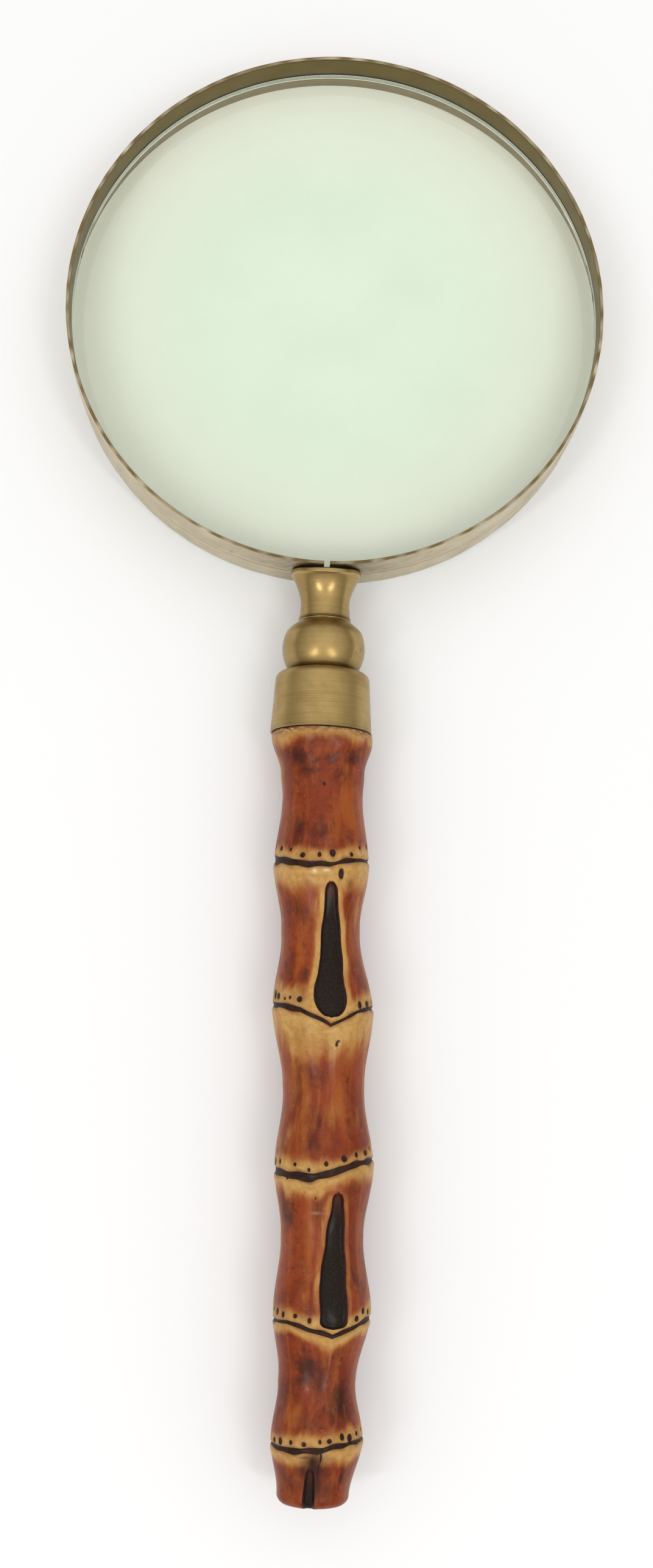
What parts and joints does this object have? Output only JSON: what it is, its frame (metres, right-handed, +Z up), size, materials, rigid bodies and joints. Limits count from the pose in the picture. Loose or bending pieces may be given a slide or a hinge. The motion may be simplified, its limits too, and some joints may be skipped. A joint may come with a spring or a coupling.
{
  "type": "hand magnifying glass",
  "caption": "Round hand magnifier: a lens in a split brass band on a turned brass neck, ball knop and ferrule, with a bamboo root handle that unscrews.",
  "frame": {"origin": "centre of the bounding box at table height; the object lies on the far edge of its band and on the foot of its ferrule", "axes": "+Y from the handle towards the lens, along the object's length; +Z up, out of the lens's front face; +X to the right with the handle towards the viewer"},
  "size_m": [0.1042, 0.2745, 0.0204],
  "materials": {
    "glass": "clear polished",
    "brass": "aged satin",
    "solder": "dull",
    "bamboo": "lacquered"
  },
  "bodies": {
    "head": {"rim_band": "brass", "lens": "glass", "rim_solder": "solder", "neck_collar": "brass", "handle_stud": "brass"},
    "knop": {"ball_knop": "brass"},
    "handle": {"ferrule": "brass", "stud_insert": "brass", "bamboo_handle": "bamboo"}
  },
  "joints": [
    {"name": "handle_travel", "type": "slide", "parent": "head", "child": "knop", "axis": [0, -0.9998, 0.0196], "range_m": [0, 0.0085]},
    {"name": "handle_turn", "type": "hinge", "parent": "knop", "child": "handle", "pos_m": [0, 0.01788, 0.00928], "axis": [0, -0.9998, 0.0196], "range_deg": [0, 3060]}
  ],
  "couplings": [
    {"joint": "handle_turn", "follows": "handle_travel", "rad_per_m": 6283.2}
  ]
}
